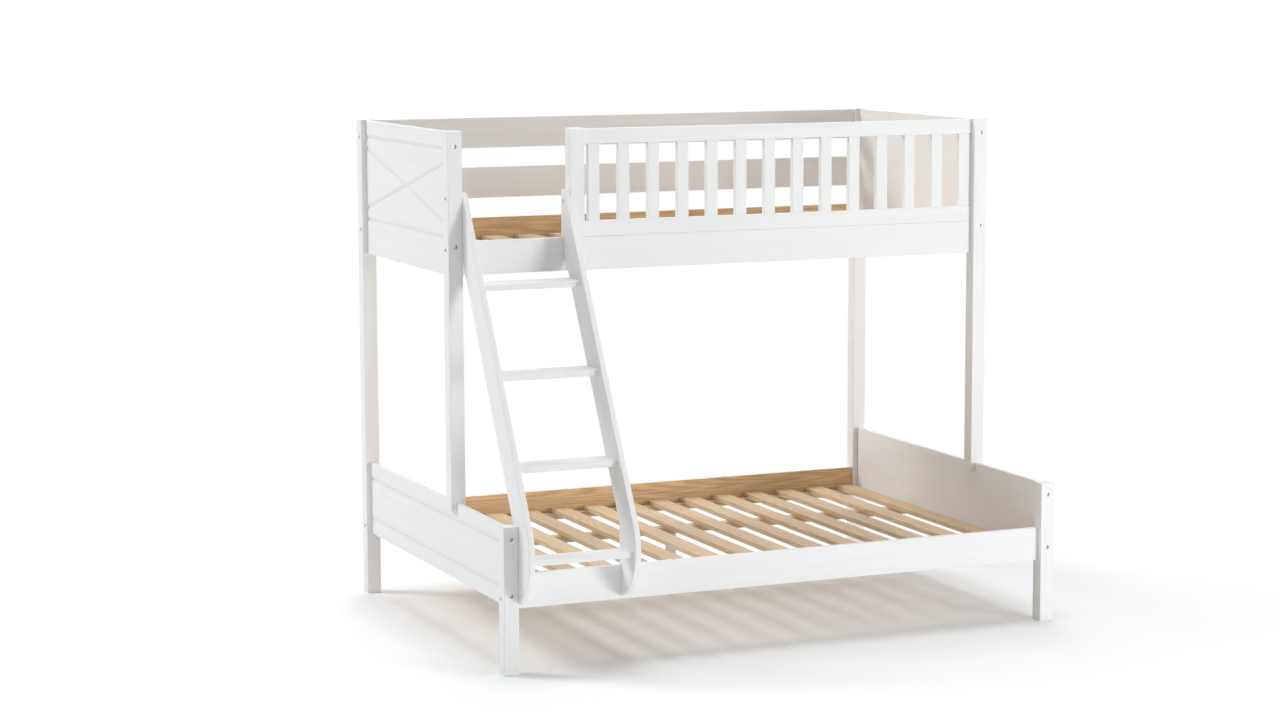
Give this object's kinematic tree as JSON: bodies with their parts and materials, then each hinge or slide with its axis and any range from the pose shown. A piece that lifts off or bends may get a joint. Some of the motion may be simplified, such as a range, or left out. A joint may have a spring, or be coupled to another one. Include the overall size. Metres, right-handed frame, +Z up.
{
  "type": "bunk bed",
  "caption": "White painted pine bunk bed with a wide lower bed, a narrower railed upper bed set back over it, and a leaning side ladder hooked over both front rails.",
  "frame": {"origin": "on the floor, at the middle of the bed's box, ladder included", "axes": "+X along the bed from the ladder's end to the other, +Y from the front to the rear, +Z up"},
  "size_m": [2.08, 1.5858, 1.76],
  "materials": {
    "white_paint": "satin white paint on solid pine",
    "pine": "clear lacquered natural pine",
    "beech": "plain beech",
    "webbing": "woven polyester tape",
    "steel": "zinc plated"
  },
  "bodies": {
    "frame": {"rear_left_post": "white_paint", "rear_right_post": "white_paint", "upper_front_left_post": "white_paint", "upper_front_right_post": "white_paint", "lower_front_left_leg": "white_paint", "lower_front_right_leg": "white_paint", "upper_left_end_panel": "white_paint", "upper_right_end_panel": "white_paint", "lower_left_end_panel": "white_paint", "lower_right_end_panel": "white_paint", "lower_front_rail": "white_paint", "lower_rear_rail": "white_paint", "upper_front_rail": "white_paint", "upper_rear_rail": "white_paint", "rear_middle_board": "white_paint", "rear_top_board": "white_paint", "lower_front_ledger": "pine", "lower_rear_ledger": "pine", "upper_front_ledger": "pine", "upper_rear_ledger": "pine", "guard_post": "white_paint", "guard_top_rail": "white_paint", "guard_bottom_rail": "white_paint", "guard_uprights": "white_paint", "ladder_left_stringer": "white_paint", "ladder_right_stringer": "white_paint", "ladder_rung_1": "white_paint", "ladder_rung_2": "white_paint", "ladder_rung_3": "white_paint", "ladder_rung_4": "white_paint", "lower_support_beam": "pine", "lower_support_leg": "white_paint", "panel_bolts": "steel", "panel_nuts": "steel", "rail_bolts": "steel", "rail_nuts": "steel", "ladder_bolts": "steel", "ladder_inserts": "steel", "frame_dowels": "beech", "ledger_screws": "steel", "guard_post_screws": "steel", "support_leg_screws": "steel"},
    "upper_slatted_base": {"upper_slats": "pine", "upper_slat_tapes": "webbing", "upper_slat_staples": "steel"},
    "lower_slatted_base": {"lower_slats": "pine", "lower_slat_tapes": "webbing", "lower_slat_staples": "steel"}
  },
  "joints": [
    {"name": "upper_base_lift", "type": "slide", "parent": "frame", "child": "upper_slatted_base", "axis": [0, 0, 1], "range_m": [0, 0.065]},
    {"name": "lower_base_lift", "type": "slide", "parent": "frame", "child": "lower_slatted_base", "axis": [0, 0, 1], "range_m": [0, 0.2]}
  ]
}
